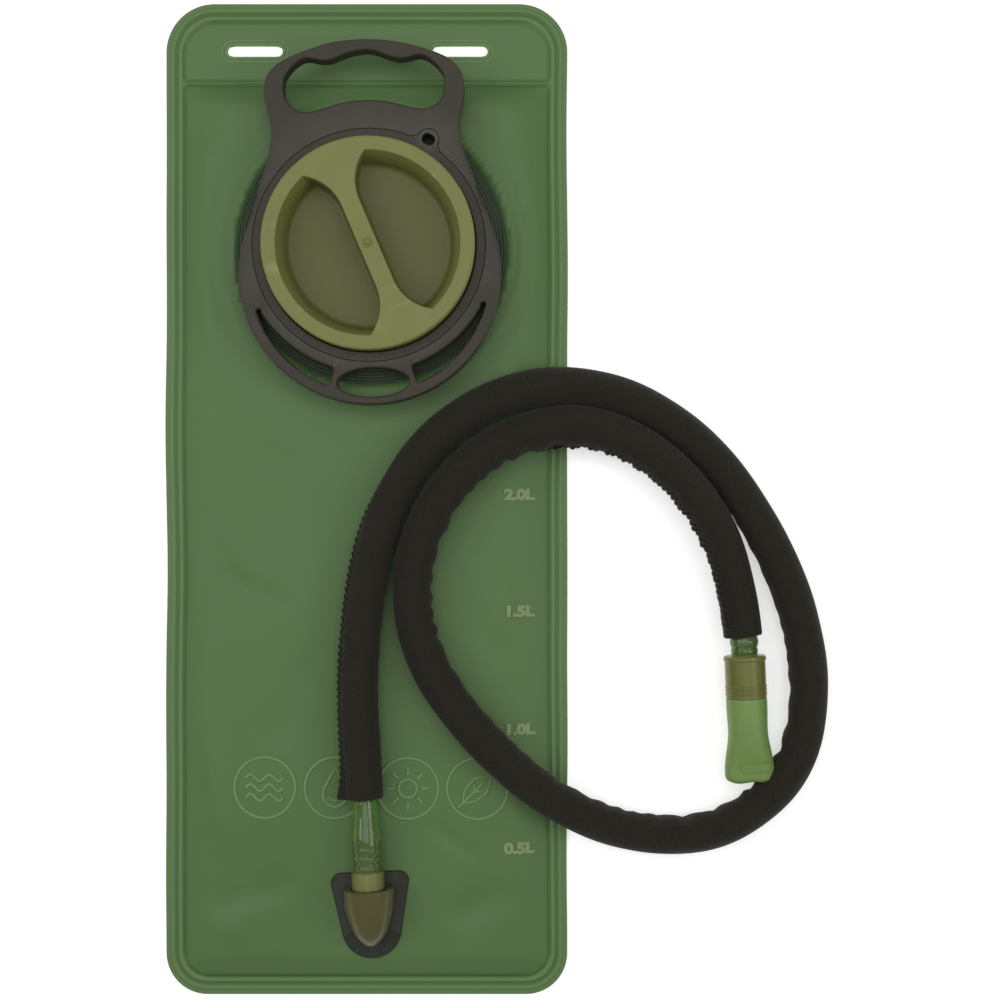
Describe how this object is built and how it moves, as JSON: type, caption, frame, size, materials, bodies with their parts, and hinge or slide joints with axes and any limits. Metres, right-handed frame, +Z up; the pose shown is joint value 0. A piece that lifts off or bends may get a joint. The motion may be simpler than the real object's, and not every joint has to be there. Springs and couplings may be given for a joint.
{
  "type": "hydration bladder",
  "caption": "Flat welded film water reservoir with a wide screw cap, rigid carry handle, hanging slots, quick-release outlet and a sleeved drinking tube with a twist-lock bite valve.",
  "frame": {"origin": "under the middle of the bag, on the surface it lies on", "axes": "+Y towards the hanging tab, +X to the side the hose lies on, +Z up out of the bag's face"},
  "size_m": [0.2795, 0.42, 0.0285],
  "materials": {
    "film": "satin embossed film",
    "port_green": "satin",
    "black_plastic": "fine grain satin",
    "olive_plastic": "satin",
    "bronze_plastic": "semi-gloss",
    "white_plastic": "satin",
    "seal_rubber": "soft",
    "steel": "drawn wire",
    "clear_tube": "clear tinted",
    "neoprene": "knit faced foam",
    "green_silicone": "soft satin"
  },
  "bodies": {
    "root": {"front_panel": "film", "back_panel": "film", "fill_port": "port_green", "port_collar": "black_plastic", "handle_frame": "black_plastic", "outlet_flange": "black_plastic", "outlet_body": "bronze_plastic", "poppet_spring": "steel"},
    "cap_seal": {"cap_gasket": "seal_rubber"},
    "cap": {"screw_cap": "olive_plastic"},
    "poppet": {"outlet_poppet": "white_plastic", "poppet_seal": "seal_rubber"},
    "hose": {"tube_plug": "olive_plastic", "plug_oring": "seal_rubber", "drinking_tube": "clear_tube", "insulation_sleeve": "neoprene", "valve_barrel": "olive_plastic", "valve_oring": "seal_rubber", "valve_stem": "white_plastic"},
    "bite_valve": {"valve_lock_ring": "olive_plastic", "bite_sleeve": "green_silicone"}
  },
  "joints": [
    {"name": "cap_lift", "type": "slide", "parent": "root", "child": "cap_seal", "axis": [0, 0, 1], "range_m": [0, 0.015]},
    {"name": "cap_turn", "type": "hinge", "parent": "cap_seal", "child": "cap", "pos_m": [0.0023, 0.105, 0.02], "axis": [0, 0, 1], "range_deg": [0, 450]},
    {"name": "plug_pull", "type": "slide", "parent": "root", "child": "hose", "axis": [-0.0436, 0.999, 0], "range_m": [0, 0.0072]},
    {"name": "poppet_travel", "type": "slide", "parent": "root", "child": "poppet", "axis": [-0.0436, 0.999, 0], "range_m": [0, 0.003]},
    {"name": "valve_twist", "type": "hinge", "parent": "hose", "child": "bite_valve", "pos_m": [0.1589, -0.0633, 0.0106], "axis": [-0.0436, 0.999, 0], "range_deg": [0, 90]}
  ],
  "couplings": [
    {"joint": "cap_lift", "follows": "cap_turn", "m_per_rad": 0.0019098},
    {"joint": "poppet_travel", "follows": "plug_pull", "ratio": 0.4166}
  ]
}
